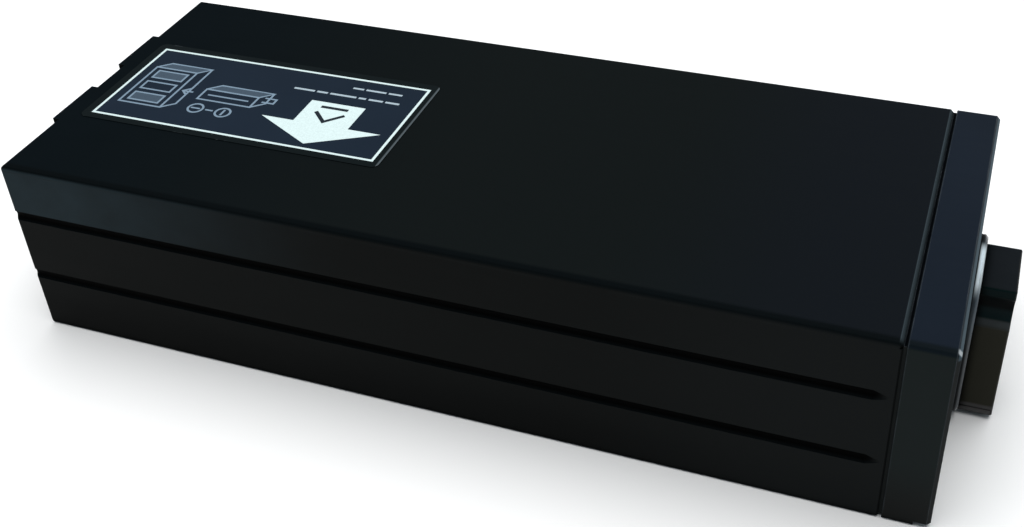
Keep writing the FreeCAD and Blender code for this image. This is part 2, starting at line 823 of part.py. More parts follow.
def make_positive_lead():
    """From the last block's positive tab to the fuse."""
    a = terminal_place(8, 1)
    stud = stud_places[0]
    h = link_width / 2
    foot = stud_foot(stud)
    x_drop = stud.x + foot_reach - link_thickness
    z0 = z_fuse + fuse_lug_thickness
    route = [a, V(a.x, stud.y, 0), V(x_drop + h, stud.y, 0)]
    riser = drop(x_drop, stud.y, z0, z_link + link_thickness)
    return strip(route).fuse([clip(a), foot, riser]).removeSplitter()


def contact_tail_top():
    return z_socket_floor + contact_thickness


def tail_run(y, x_from, z_from):
    """Strip to the rear at one height, down behind the connector and on to the contact's tail."""
    h = link_width / 2
    x_drop = x_connector_end + contact_tail
    run = box(x_drop, x_from, y - h, y + h, z_from, z_from + link_thickness)
    fall = drop(x_drop, y, contact_tail_top(), z_from + link_thickness)
    foot = box(x_connector_end + lead_foot_gap, x_drop + link_thickness, y - h, y + h,
               contact_tail_top(), contact_tail_top() + link_thickness)
    return run.fuse([fall, foot])


def make_fuse_lead():
    """From the fuse to the connector's positive contact."""
    stud = stud_places[1]
    z0 = z_fuse + fuse_lug_thickness
    foot = stud_foot(stud)
    x_joggle = stud.x - foot_reach
    lead = tail_run(socket_pitch / 2, x_joggle, z0)
    joggle = box(x_joggle - link_width, x_joggle, socket_pitch / 2 - link_width / 2,
                 stud.y + link_width / 2, z0, z0 + link_thickness)
    return lead.fuse([joggle, foot]).removeSplitter()


def make_negative_lead():
    """From the first block's negative tab to the connector's negative contact."""
    a = terminal_place(1, -1)
    y = -socket_pitch / 2
    route = [a, V(a.x, y, 0), V(a.x - link_width, y, 0)]
    lead = tail_run(y, a.x, z_link)
    return strip(route).fuse([clip(a), lead]).removeSplitter()


# ---------------------------------------------------------------- output connector
def connector_screw_places():
    return [V(0, y, connector_centre_z) for y in (-connector_screw_y, connector_screw_y)]


def make_connector():
    body = upright_plate(x_rear, x_connector_end, connector_width, connector_height,
                         connector_centre_z)
    body = chamfered(body, connector_chamfer, edges_along(body, AX, lambda c: True))
    flange = upright_plate(x_rear_inner, x_blocks, connector_flange_width, connector_flange_height,
                           connector_centre_z)
    flange = chamfered(flange, connector_chamfer, edges_along(flange, AX, lambda c: True))
    body = body.fuse(flange)
    x_back = x_rear + socket_depth
    half_slot = contact_width / 2 + clip_clearance
    for side in (-1, 1):
        y = side * socket_pitch / 2
        body = body.cut(box(x_rear - overcut, x_back, y - socket_width / 2, y + socket_width / 2,
                            z_socket_floor, z_socket_floor + socket_height))
        body = body.cut(box(x_back - overcut, x_connector_end + overcut, y - half_slot, y + half_slot,
                            z_socket_floor, contact_tail_top() + clip_clearance))
    for place in connector_screw_places():
        body = body.cut(through_hole(x_rear_inner, x_blocks, place,
                                     connector_screw_shank / 2 + thread_clearance))
    return body.removeSplitter()


def make_contact(side):
    x0 = x_rear + contact_setback
    x1 = x_connector_end + contact_tail
    centre = V((x0 + x1) / 2, side * socket_pitch / 2, 0)
    contact = centred_box(centre, x1 - x0, contact_width, z_socket_floor, contact_tail_top())
    nose = edges_along(contact, AY, lambda c: c.x < x0 + tolerance and c.z > z_socket_floor + tolerance)
    return chamfered(contact, contact_chamfer, nose)


def make_connector_screws():
    return Part.makeCompound([
        screw(V(x_rear, place.y, place.z), AX, connector_screw_head / 2, connector_screw_head_height,
              connector_screw_shank / 2, connector_screw_length)
        for place in connector_screw_places()])


# ---------------------------------------------------------------- pads and spacer
def make_floor_pad():
    return sided_box(x_rear_inner + floor_pad_margin, x_spacer, half_inner - floor_pad_margin,
                     tray_floor, z_block)


def make_rear_pad(side):
    centre = V((x_rear_inner + x_blocks) / 2, side * column_pitch, 0)
    return centred_box(centre, rear_pad_thickness, block_width - 2 * rear_pad_inset,
                       z_block, z_block + row_pad_height)


def make_row_pad(row):
    x0 = x_blocks + row * row_pitch - row_pad_thickness
    return sided_box(x0, x0 + row_pad_thickness, half_inner - floor_pad_margin,
                     z_block, z_block + row_pad_height)


LID_PADS = [1, 8, 3, 4, 5]


def make_lid_pad(number):
    """Foam on a block, clear of its tabs."""
    away = -BLOCKS[number][2] * (block_length / 2 - lid_pad_length / 2 - lid_pad_inset)
    centre = block_centre(number).add(AX * away)
    return centred_box(centre, lid_pad_length, lid_pad_width, z_block_top, z_lid)


def make_end_spacer():
    """Ribbed spacer between the front row and the cap, open round the handle plate."""
    half = half_inner - spigot_clearance - spigot_wall - spacer_side_gap
    inner = backing_plate_width / 2 + spacer_opening_gap
    z0 = z_cap_boss + spacer_boss_gap
    z1 = z_spigot_top - spigot_wall - spacer_top_gap
    spacer = sided_box(x_spacer, x_spacer + spacer_plate, half, z0, z1)
    rib_step = (half - spacer_rib - inner) / (spacer_rib_count - 1)
    for side in (-1, 1):
        for i in range(spacer_rib_count):
            y = side * (inner + i * rib_step)
            y0 = min(y, y + side * spacer_rib)
            spacer = spacer.fuse(box(x_spacer, x_front_inner, y0, y0 + spacer_rib, z0, z1))
        y0 = min(side * inner, side * half)
        for z in (z0, (z0 + z1 - spacer_rib) / 2, z1 - spacer_rib):
            spacer = spacer.fuse(box(x_spacer, x_front_inner, y0, y0 + half - inner,
                                     z, z + spacer_rib))
    return spacer.removeSplitter()


# ---------------------------------------------------------------- all sub-parts
def make_all():
    parts = {
        "case_tray": make_case_tray(),
        "case_lid": make_case_lid(),
        "front_cap": make_front_cap(),
        "cap_screws": make_cap_screws(),
        "handle_flange": make_handle_flange(),
        "pull_handle": make_pull_handle(),
        "handle_backing_plate": make_backing_plate(),
        "handle_screws": make_handle_screws(),
        "top_label": make_label(),
        "output_connector": make_connector(),
        "contact_negative": make_contact(-1),
        "contact_positive": make_contact(1),
        "connector_screws": make_connector_screws(),
        "bay_bracket": make_bay_bracket(),
        "fuse_base": make_fuse_base(),
        "fuse_studs": make_fuse_studs(),
        "string_fuse": make_fuse(),
        "fuse_nuts": make_fuse_nuts(),
        "positive_lead": make_positive_lead(),
        "fuse_lead": make_fuse_lead(),
        "negative_lead": make_negative_lead(),
        "floor_pad": make_floor_pad(),
        "rear_pad_near": make_rear_pad(-1),
        "rear_pad_far": make_rear_pad(1),
        "row_pad_1": make_row_pad(1),
        "row_pad_2": make_row_pad(2),
        "end_spacer": make_end_spacer(),
    }
    for number in BLOCKS:
        parts["battery_block_%d" % number] = make_block(number)
        parts["block_terminals_%d" % number] = make_terminals(number)
    for name, (first, second) in LINKS.items():
        parts[name] = make_series_link(first, second)
    for i, number in enumerate(LID_PADS):
        parts["lid_pad_%d" % (i + 1)] = make_lid_pad(number)
    return parts


def main():
    os.makedirs("parts", exist_ok=True)
    for name, shape in make_all().items():
        shape.exportStep(os.path.join("parts", name + ".step"))
        box_ = shape.BoundBox
        print("%-22s solids %2d valid %s  x %.1f..%.1f  y %.1f..%.1f  z %.1f..%.1f"
              % (name, len(shape.Solids), shape.isValid(), box_.XMin, box_.XMax,
                 box_.YMin, box_.YMax, box_.ZMin, box_.ZMax))


main()
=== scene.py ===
import json
import math

import bmesh
import bpy
from mathutils import Matrix, Vector


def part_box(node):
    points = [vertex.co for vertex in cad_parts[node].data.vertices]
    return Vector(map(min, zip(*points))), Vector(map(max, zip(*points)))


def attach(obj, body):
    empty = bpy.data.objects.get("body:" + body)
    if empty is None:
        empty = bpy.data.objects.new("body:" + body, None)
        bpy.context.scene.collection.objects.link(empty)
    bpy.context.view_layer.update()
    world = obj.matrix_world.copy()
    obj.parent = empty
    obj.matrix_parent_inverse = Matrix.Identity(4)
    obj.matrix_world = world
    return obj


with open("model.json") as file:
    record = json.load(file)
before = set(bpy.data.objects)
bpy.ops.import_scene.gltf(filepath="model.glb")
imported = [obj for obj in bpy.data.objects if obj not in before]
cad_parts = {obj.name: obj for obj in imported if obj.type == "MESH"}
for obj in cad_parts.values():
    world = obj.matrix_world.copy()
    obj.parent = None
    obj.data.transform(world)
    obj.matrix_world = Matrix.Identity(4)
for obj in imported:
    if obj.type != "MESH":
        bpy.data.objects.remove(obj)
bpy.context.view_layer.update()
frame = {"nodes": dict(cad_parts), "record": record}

MM = 0.001
BODY = "root"

# ------------------------------------------------------------------ places read from the frame
tray_low, tray_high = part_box("case_tray")
lid_low, lid_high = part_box("case_lid")
cap_low, cap_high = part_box("front_cap")
flange_low, flange_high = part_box("handle_flange")
grip_low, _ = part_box("pull_handle")
label_low, label_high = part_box("top_label")
LABEL_X = (label_low[0] + label_high[0]) / 2
LABEL_Y = (label_low[1] + label_high[1]) / 2
LABEL_TOP = label_high[2]

# The printed border's corners on the label and the width of its line, in millimetres from the
# label's centre.
BORDER_X0, BORDER_X1 = -89.7, 90.6
BORDER_Y0, BORDER_Y1 = -38.7, 38.2
BORDER_LINE = 1.6

# ------------------------------------------------------------------ camera
CAMERA_PLACE = (0.2458, -0.5497, 0.5033)
CAMERA_AZIMUTH = math.radians(-21.552)     # 0 looks along +Y
CAMERA_ELEVATION = math.radians(-35.631)
CAMERA_ROLL = math.radians(-2.842)
CAMERA_LENS = 46.275
CAMERA_SENSOR = 36.0
CAMERA_SHIFT = (-0.0393, -0.0647)
CAMERA_CLIP = 0.01


def make_camera():
    data = bpy.data.cameras.new("camera")
    data.lens = CAMERA_LENS
    data.sensor_width = CAMERA_SENSOR
    data.sensor_fit = "HORIZONTAL"
    data.shift_x, data.shift_y = CAMERA_SHIFT
    data.clip_start = CAMERA_CLIP
    camera = bpy.data.objects.new("camera", data)
    bpy.context.collection.objects.link(camera)
    tilt = Matrix.Rotation(math.radians(90) + CAMERA_ELEVATION, 4, "X")
    turn = Matrix.Rotation(-CAMERA_AZIMUTH, 4, "Z")
    roll = Matrix.Rotation(CAMERA_ROLL, 4, "Z")
    camera.matrix_world = Matrix.Translation(CAMERA_PLACE) @ turn @ tilt @ roll
    bpy.context.scene.camera = camera


# ------------------------------------------------------------------ shader nodes
MIX_COLOUR_INPUTS = (0, 6, 7)              # factor, first colour, second colour
MIX_COLOUR_OUTPUT = 2
NOISE_SPAN = (0.3, 0.7)                    # noise values taken as lowest and highest
FACING_SPAN = (0.3, 0.9)                   # normal's share along an axis, from none to full


class Tree:
    """A material's node tree. Its positions are in the part's own frame, in metres."""

    def __init__(self, name):
        self.material = bpy.data.materials.new(name)
        self.material.use_nodes = True
        self.nodes = self.material.node_tree.nodes
        self.links = self.material.node_tree.links
        self.shader = self.nodes["Principled BSDF"]
        self.coords = None

    def feed(self, socket, value):
        """Sets a constant on an input, or links another node's output to it."""
        if isinstance(value, (int, float, tuple)):
            socket.default_value = value
        else:
            self.links.new(value, socket)

    def node(self, kind, **inputs):
        """A new node with its inputs fed by name, with _ for a space in a name."""
        node = self.nodes.new(kind)
        for name, value in inputs.items():
            self.feed(node.inputs[name.replace("_", " ")], value)
        return node

    def position(self):
        if self.coords is None:
            self.coords = self.nodes.new("ShaderNodeTexCoord")
        return self.coords.outputs["Object"]

    def component(self, vector, axis):
        return self.node("ShaderNodeSeparateXYZ", Vector=vector).outputs[axis]

    def normal(self, axis):
        geometry = self.nodes.new("ShaderNodeNewGeometry")
        return self.component(geometry.outputs["Normal"], axis)

    def combine(self, operation, *values, clamp=False):
        """A sum, product or other arithmetic on one or two values."""
        node = self.nodes.new("ShaderNodeMath")
        node.operation = operation
        node.use_clamp = clamp
        for socket, value in zip(node.inputs, values):
            self.feed(socket, value)
        return node.outputs["Value"]

    def product(self, *factors):
        result = factors[0]
        for factor in factors[1:]:
            result = self.combine("MULTIPLY", result, factor)
        return result

    def ramp(self, source, low, high, start, stop, smooth=False):
        """Low to high while the source goes from start to stop, and level outside that."""
        node = self.node("ShaderNodeMapRange", Value=source, From_Min=start, From_Max=stop,
                         To_Min=low, To_Max=high)
        if smooth:
            node.interpolation_type = "SMOOTHSTEP"
        return node.outputs["Result"]

    def mix(self, factor, first, second):
        """From the first colour to the second as the factor goes from 0 to 1."""
        node = self.nodes.new("ShaderNodeMix")
        node.data_type = "RGBA"
        for index, value in zip(MIX_COLOUR_INPUTS, (factor, first, second)):
            self.feed(node.inputs[index], (*value, 1.0) if isinstance(value, tuple) else value)
        return node.outputs[MIX_COLOUR_OUTPUT]

    def shades(self, source, colour, shade, span=NOISE_SPAN):
        """From a darker shade of a colour to the colour while the source goes through its span."""
        darker = tuple(channel * shade for channel in colour)
        return self.mix(self.ramp(source, 0.0, 1.0, *span), darker, colour)

    def noise(self, scale, detail, roughness, drawn=None):
        """Fractal noise over the part, drawn out along an axis where drawn is under 1."""
        vector = self.position()
        if drawn:
            vector = self.node("ShaderNodeMapping", Vector=vector, Scale=drawn).outputs["Vector"]
        texture = self.node("ShaderNodeTexNoise", Vector=vector, Scale=scale, Detail=detail,
                            Roughness=roughness)
        return texture.outputs["Fac"]

    def rounded_normal(self, radius, samples):
        """The normal as it would be if every edge were rounded to a radius in metres."""
        bevel = self.node("ShaderNodeBevel", Radius=radius)
        bevel.samples = samples
        return bevel.outputs["Normal"]


# ------------------------------------------------------------------ places on the part
# A mask is a function of the tree that gives 1 on a place of the part and 0 off it.
ORIGIN = (0.0, 0.0, 0.0)


def fade(axis, start, stop, corner=ORIGIN):
    """0 to 1 from start to stop along an axis, in millimetres from the origin or a box's corner."""
    zero = float(corner["XYZ".index(axis)])

    def mask(tree):
        return tree.ramp(tree.component(tree.position(), axis), 0.0, 1.0,
                         zero + start * MM, zero + stop * MM, smooth=True)
    return mask


def facing(axis, sign):
    """1 on faces that look one way along an axis."""
    start, stop = FACING_SPAN

    def mask(tree):
        return tree.ramp(tree.normal(axis), 0.0, 1.0, start * sign, stop * sign)
    return mask


def either_way(axis, low, high):
    """Low to high as a face turns towards an axis, whichever way it looks along it."""
    def mask(tree):
        return tree.ramp(tree.combine("ABSOLUTE", tree.normal(axis)), low, high, *FACING_SPAN)
    return mask


def where(*masks):
    """1 where all of the masks are 1."""
    def mask(tree):
        return tree.product(*(each(tree) for each in masks))
    return mask


upward_faces = facing("Z", 1)
near_faces = facing("Y", -1)
# upright_faces and side_faces carry painted light and shade: a face takes a lighter or darker tone
# by which way it turns.
upright_faces = either_way("Z", 1.0, 0.0)
side_faces = either_way("Y", 0.0, 1.0)

# The case and the cap alike: painted shade at the foot of the near side, and painted shade along
# the top's near edge, where its rounding would mirror something dark.
foot_of_side = where(near_faces, fade("Z", 45, 5))
near_top_edge = where(upward_faces, fade("Y", 6.5, 3.5, tray_low))

# The case: painted sheen on its top, painted light and sheen on its near side, and a painted
# highlight on the lid's edge at the seam.
UPPER_GROOVE = 79.0                        # height of the upper long groove
# Painted sheen: the top lighter from the rear forwards, and bluer near the seam.
top_ahead_of_rear = where(upward_faces, fade("X", tray_low[0] / MM, 0))
top_near_seam = where(upward_faces, fade("X", 80, 200))
# Painted light: the near side lighter towards the front.
front_of_side = where(near_faces, fade("X", 60, 220))
# Painted highlight on the lid's front edge at the seam.
seam_lip = where(fade("X", -2.2, -1.6, lid_high), fade("Y", 1, 6, lid_low),
                 fade("Z", -2.2, -1.6, lid_high))


def patches(tree):
    """Weaker here and there, so that a band of painted sheen has no straight border."""
    return tree.ramp(tree.noise(scale=30.0, detail=4.0, roughness=0.6), 0.6, 1.0, *NOISE_SPAN)


# Painted sheen: a bluish reflection over the rear of the near side's upper band.
rear_of_upper_band = where(near_faces, patches, fade("X", -40, -240),
                           fade("Z", UPPER_GROOVE - 1, UPPER_GROOVE + 2))


def side_grooves(tree):
    """1 on the floors of the long grooves in both sides, where shade is painted."""
    near_floor = where(near_faces, fade("Y", 0.3, 1.6, tray_low))
    far_floor = where(facing("Y", 1), fade("Y", -0.3, -1.6, tray_high))
    return tree.combine("ADD", near_floor(tree), far_floor(tree), clamp=True)


# The cap: painted shade on the floor of the seam behind it and painted fill light over that seam on
# the near side, a painted highlight on its front bevel, a painted glint near its near top corner
# and painted shade down the front of its near side.
CAP_REAR = 1.8                             # from the lid's front edge, across the seam
# Painted shade on the seam's floor; on the near side painted fill light lifts it again.
seam_floor = fade("X", CAP_REAR, CAP_REAR - 0.3, lid_high)
seam_on_near_side = where(near_faces, seam_floor)
# Painted highlight along the front bevel's top, a painted glint near the near top corner, and
# painted shade down the near side's front edge.
cap_front_bevel = where(fade("X", -1.6, -0.9, cap_high), fade("Z", -4.0, -2.5, cap_high))
cap_near_corner = where(fade("X", -2.2, -1.2, cap_high), fade("Y", 1.5, 3.0, cap_low),
                        fade("Y", 6.0, 4.5, cap_low), fade("Z", -2.5, -1.5, cap_high))
cap_front_sides = where(near_faces, fade("X", -2.1, -1.7, cap_high),
                        fade("Z", -2.5, -4.0, cap_high))


# The handle's flange: a painted crescent highlight along the top of its rim, and painted highlights
# on its chamfer and its near shoulder.
RIM_SPAN = (0.80, 0.95)


def off_the_front(tree):
    """0 on the flange's front face, 1 where its rim turns away from it."""
    return tree.ramp(tree.normal("X"), 1.0, 0.0, *RIM_SPAN)


rim_top = where(upward_faces, fade("X", 0.7, 1.6, flange_low), fade("Y", 12, 3),
                fade("Y", -27.5, -19.5))
rim_chamfer = where(off_the_front, fade("X", -1.7, -1.1, flange_high))
rim_shoulder = where(off_the_front, fade("Z", 48, 70), fade("Y", 14, 8),
                     fade("X", 0.5, 1.2, flange_low))

# The handle, from its foot up: painted highlights on its foot and on the lip under the finger
# hollow, and painted shade in the hollow and up to the head.
grip_foot = fade("Z", 7.5, 5.5, grip_low)
grip_hollow_lip = where(near_faces, fade("Z", 60.2, 62.2), fade("Z", 65.0, 63.6))
grip_hollow_foot = where(side_faces, fade("Z", 63.5, 65.0))
grip_hollow = where(side_faces, fade("Z", 69, 72))
grip_head = where(side_faces, fade("Z", 78, 83))

# The label: unprinted film outside the printed border, and a painted highlight on its front rim.
BORDER_BLUR = 0.4
LABEL_CENTRE = (LABEL_X, LABEL_Y)
label_front_rim = fade("X", -1.6, -0.8, label_high)
inside_border = where(fade("X", BORDER_X0, BORDER_X0 + BORDER_BLUR, LABEL_CENTRE),
                      fade("X", BORDER_X1, BORDER_X1 - BORDER_BLUR, LABEL_CENTRE),
                      fade("Y", BORDER_Y0, BORDER_Y0 + BORDER_BLUR, LABEL_CENTRE),
                      fade("Y", BORDER_Y1, BORDER_Y1 - BORDER_BLUR, LABEL_CENTRE))


def label_margin(tree):
    return tree.ramp(inside_border(tree), 1.0, 0.0, 0.0, 1.0)


# ------------------------------------------------------------------ materials
# Spans are the values of a node's output between which a mask goes from one end to the other.
# Shades are shares of the colour that they darken. Lengths are in metres.
# The hollow constants paint shade: ambient occlusion darkens the colour and dulls the roughness in
# seams, grooves and corners.
HOLLOW_REACH = 0.005                       # how near a wall has to be to make a hollow
HOLLOW_SAMPLES = 8
HOLLOW_SPAN = (0.50, 0.95)
HOLLOW_SHADE = 0.06
HOLLOW_ROUGHNESS = 0.95
EDGE_RADIUS = 0.0008
EDGE_SAMPLES = 6
EDGE_SPAN = (0.90, 0.995)
SOFT_EDGE_SAMPLES = 8
DRIFT_SHADE = 0.82
SCUFF_SPAN = (0.45, 0.75)
SCUFF_DULL, SCUFF_SHINE = 0.025, 0.045     # how far scuffs take the roughness up and down
GRAIN_DEPTH = 0.00005
LUSTRE = 0.5                               # how metallic the painted rim highlight is made
INK_SPAN = (0.3, 0.75)
INK_SHADE = 0.86
LAY_SHADE = 0.8
LAY_SHINE, LAY_DULL = 0.06, 0.08           # how far the lay takes the roughness down and up
PIT_SPAN = (0.0, 0.6)
PIT_SHADE = 0.6
PIT_DEPTH = 0.0002


def painted_hollow_shade(tree):
    """Painted shade from ambient occlusion: 0 on open surfaces, 1 deep in seams, grooves and
    corners.
    """
    occlusion = tree.node("ShaderNodeAmbientOcclusion", Distance=HOLLOW_REACH)
    occlusion.samples = HOLLOW_SAMPLES
    return tree.ramp(occlusion.outputs["AO"], 1.0, 0.0, *HOLLOW_SPAN)


def rubbed_and_highlit_edges(tree, least, most):
    """1 on patches of an outer edge: paler rubbed wear, which on the cap and the label also stands
    in for a painted edge highlight.
    """
    geometry = tree.nodes.new("ShaderNodeNewGeometry")
    dot = tree.nodes.new("ShaderNodeVectorMath")
    dot.operation = "DOT_PRODUCT"
    tree.feed(dot.inputs[0], tree.rounded_normal(EDGE_RADIUS, EDGE_SAMPLES))
    tree.feed(dot.inputs[1], geometry.outputs["Normal"])
    edge = tree.ramp(dot.outputs["Value"], 1.0, 0.0, *EDGE_SPAN)
    patch = tree.ramp(tree.noise(scale=60.0, detail=5.0, roughness=0.65), 0.0, 1.0, least, most)
    return tree.product(edge, patch)


def moulded_plastic(name, colour, edge_wear_and_highlight, roughness, specular, grain=0.25, edge_patch_span=(0.42, 0.68),
                    tones=(), painted_fill_light=(), soft_edge=0.0, painted_highlight=None):
    """Spark-eroded moulding: fine grain, slow tone drift, faint scuffs, paler rubbed edges.

    The paler edges also stand in for painted edge highlights. Tones are (mask, colour) pairs under
    the edge wear and the painted hollow shade, many of them painted light and shade; painted fill
    light pairs lie over the hollow shade. The painted highlight is one such pair, a pale patch that
    is also made half metallic.
    """
    tree = Tree(name)
    shader = tree.shader
    base = tree.shades(tree.noise(scale=9.0, detail=4.0, roughness=0.6), colour, DRIFT_SHADE)
    for mask, tone in tones:
        base = tree.mix(mask(tree), base, tone)
    # Paler edges: rubbed wear, and on the cap and the label a painted edge highlight as well.
    base = tree.mix(rubbed_and_highlit_edges(tree, *edge_patch_span), base, edge_wear_and_highlight)
    hollow = painted_hollow_shade(tree)
    # Painted shade: the colour darkens deep in seams, grooves and corners.
    base = tree.mix(hollow, base, tuple(channel * HOLLOW_SHADE for channel in colour))
    # Painted fill light: lifts the painted shade where a seam should look less dark.
    for mask, tone in painted_fill_light:
        base = tree.mix(mask(tree), base, tone)
    # Painted highlight: a pale patch, made half metallic, stands in for a glint.
    if painted_highlight:
        mask, highlight_colour = painted_highlight
        highlight_mask = mask(tree)
        base = tree.mix(highlight_mask, base, highlight_colour)
        tree.feed(shader.inputs["Metallic"], tree.combine("MULTIPLY", highlight_mask, LUSTRE))
    tree.feed(shader.inputs["Base Color"], base)

    scuffs = tree.noise(scale=170.0, detail=4.0, roughness=0.7, drawn=(0.12, 1.0, 1.0))
    skin = tree.ramp(scuffs, roughness + SCUFF_DULL, roughness - SCUFF_SHINE, *SCUFF_SPAN)
    matt = tree.node("ShaderNodeMix", Factor=hollow, A=skin, B=HOLLOW_ROUGHNESS)
    tree.feed(shader.inputs["Roughness"], matt.outputs["Result"])

    fine = tree.noise(scale=900.0, detail=2.0, roughness=0.5)
    bump = tree.node("ShaderNodeBump", Strength=grain, Distance=GRAIN_DEPTH, Height=fine)
    if soft_edge:
        tree.feed(bump.inputs["Normal"], tree.rounded_normal(soft_edge, SOFT_EDGE_SAMPLES))
    tree.feed(shader.inputs["Normal"], bump.outputs["Normal"])
    shader.inputs["Specular IOR Level"].default_value = specular
    return tree.material


def ink(name, colour):
    """Screen-printed ink: even, with fine speckle where it is thin."""
    tree = Tree(name)
    thin = tree.ramp(tree.noise(scale=900.0, detail=3.0, roughness=0.6), 0.0, 1.0, *INK_SPAN)
    speckled = tree.mix(thin, colour, tuple(channel * INK_SHADE for channel in colour))
    tree.feed(tree.shader.inputs["Base Color"], speckled)
    tree.shader.inputs["Roughness"].default_value = 0.45
    tree.shader.inputs["Specular IOR Level"].default_value = 0.3
    return tree.material


def metal(name, colour, roughness):
    """Plated or drawn metal with fine lay lines."""
    tree = Tree(name)
    lay = tree.noise(scale=900.0, detail=3.0, roughness=0.6, drawn=(1.0, 0.05, 1.0))
    tree.feed(tree.shader.inputs["Base Color"], tree.shades(lay, colour, LAY_SHADE))
    rub = tree.ramp(lay, roughness - LAY_SHINE, roughness + LAY_DULL, *NOISE_SPAN)
    tree.feed(tree.shader.inputs["Roughness"], rub)
    tree.shader.inputs["Metallic"].default_value = 1.0
    return tree.material


def foam(name, colour):
    """Closed-cell foam: small pits over a soft matt skin."""
    tree = Tree(name)
    cells = tree.node("ShaderNodeTexVoronoi", Vector=tree.position(), Scale=900.0)
    depth = cells.outputs["Distance"]
    shades = tree.shades(depth, colour, PIT_SHADE, PIT_SPAN)
    tree.feed(tree.shader.inputs["Base Color"], shades)
    bump = tree.node("ShaderNodeBump", Strength=0.5, Distance=PIT_DEPTH, Height=depth)
    tree.feed(tree.shader.inputs["Normal"], bump.outputs["Normal"])
    tree.shader.inputs["Roughness"].default_value = 0.9
    tree.shader.inputs["Specular IOR Level"].default_value = 0.2
    return tree.material


case_black = moulded_plastic(
    "case_black", colour=(0.0024, 0.0043, 0.0056), edge_wear_and_highlight=(0.010, 0.012, 0.012),
    roughness=0.50, specular=0.02,
    # Painted sheen on the top, lighter towards the front and bluer near the seam.
    tones=((top_ahead_of_rear, (0.0043, 0.0058, 0.0060)),
           (top_near_seam, (0.0044, 0.0058, 0.0077)),
           # Painted light: upright faces lighter than the top.
           (upright_faces, (0.0055, 0.0062, 0.0060)),
           # Painted shade: darker towards the foot of the near side.
           (foot_of_side, (0.0037, 0.0042, 0.0041)),
           # Painted light towards the front of the near side, and painted sheen on the rear of its
           # upper band.
           (front_of_side, (0.0076, 0.0088, 0.0090)),
           (rear_of_upper_band, (0.018, 0.029, 0.035)),
           # Painted shade along the top's near edge.
           (near_top_edge, (0.0018, 0.0028, 0.0033)),
           # Painted highlight on the lid's edge at the seam.
           (seam_lip, (0.034, 0.047, 0.055)),
           # Painted shade: the groove floors near black.
           (side_grooves, (0.0002, 0.0003, 0.0003))))
cap_black = moulded_plastic(
    "cap_black", colour=(0.0060, 0.0096, 0.0160), edge_wear_and_highlight=(0.05, 0.06, 0.07),
    roughness=0.46, specular=0.04, edge_patch_span=(0.30, 0.60),
    # Painted light and shade: upright faces in a tone of their own.
    tones=((upright_faces, (0.0080, 0.0118, 0.0118)),
           # Painted shade towards the foot of the near side, and along the top's near edge.
           (foot_of_side, (0.0078, 0.0086, 0.0084)),
           (near_top_edge, (0.0025, 0.0045, 0.0060)),
           # Painted shade down the near side's front edge, a painted highlight on the front bevel
           # and a painted glint near the near top corner.
           (cap_front_sides, (0.0020, 0.0028, 0.0030)),
           (cap_front_bevel, (0.045, 0.066, 0.080)),
           (cap_near_corner, (0.30, 0.33, 0.35)),
           # Painted shade: the seam's floor near black.
           (seam_floor, (0.0006, 0.0010, 0.0016))),
    # Painted fill light: the seam less dark on the near side.
    painted_fill_light=((seam_on_near_side, (0.014, 0.016, 0.016)),))
grip_black = moulded_plastic(
    "grip_black", colour=(0.0042, 0.0058, 0.0074), edge_wear_and_highlight=(0.03, 0.03, 0.026),
    roughness=0.5, specular=0.05,
    # Painted light and shade: upright faces in a tone of their own, and the sides lighter still.
    tones=((upright_faces, (0.0115, 0.0120, 0.0100)),
           (side_faces, (0.0210, 0.0205, 0.0142)),
           # Painted shade in the finger hollow and up to the head.
           (grip_hollow_foot, (0.0042, 0.0110, 0.0120)),
           (grip_hollow, (0.0002, 0.0014, 0.0015)),
           (grip_head, (0.0012, 0.0068, 0.0074)),
           # Painted highlights on the hollow's lip and on the foot.
           (grip_hollow_lip, (0.036, 0.042, 0.045)),
           (grip_foot, (0.060, 0.058, 0.058))))
flange_gloss = moulded_plastic(
    "flange_gloss", colour=(0.010, 0.012, 0.014), edge_wear_and_highlight=(0.05, 0.06, 0.07),
    roughness=0.18, specular=0.12, grain=0.04, soft_edge=0.0018,
    # Painted highlight: the crescent along the rim's top, a pale half-metallic patch.
    painted_highlight=(rim_top, (0.80, 0.90, 0.95)),
    # Painted highlights on the rim's chamfer and near shoulder.
    tones=((rim_chamfer, (0.042, 0.047, 0.052)),
           (rim_shoulder, (0.050, 0.066, 0.080))))
label_navy = moulded_plastic(
    "label_navy", colour=(0.0085, 0.0150, 0.0260), edge_wear_and_highlight=(0.13, 0.15, 0.17),
    roughness=0.36, specular=0.08, grain=0.05, edge_patch_span=(0.60, 0.80),
    tones=((label_margin, (0.0030, 0.0052, 0.0058)),
           # Painted highlight on the label's front rim.
           (label_front_rim, (0.060, 0.074, 0.082))))
block_grey = moulded_plastic(
    "block_grey", colour=(0.035, 0.037, 0.040), edge_wear_and_highlight=(0.09, 0.09, 0.09),
    roughness=0.5, specular=0.35)
inner_black = moulded_plastic(
    "inner_black", colour=(0.02, 0.02, 0.02), edge_wear_and_highlight=(0.05, 0.05, 0.05),
    roughness=0.55, specular=0.3)
connector_grey = moulded_plastic(
    "connector_grey", colour=(0.03, 0.031, 0.033), edge_wear_and_highlight=(0.08, 0.08, 0.08),
    roughness=0.5, specular=0.35)
ceramic_white = moulded_plastic(
    "ceramic_white", colour=(0.5, 0.48, 0.42), edge_wear_and_highlight=(0.6, 0.58, 0.52),
    roughness=0.4, specular=0.5)
brass_metal = metal("brass_metal", colour=(0.72, 0.55, 0.26), roughness=0.3)
tinned_metal = metal("tinned_metal", colour=(0.68, 0.66, 0.63), roughness=0.32)
zinc_metal = metal("zinc_metal", colour=(0.6, 0.61, 0.63), roughness=0.36)
foam_grey = foam("foam_grey", colour=(0.05, 0.05, 0.055))
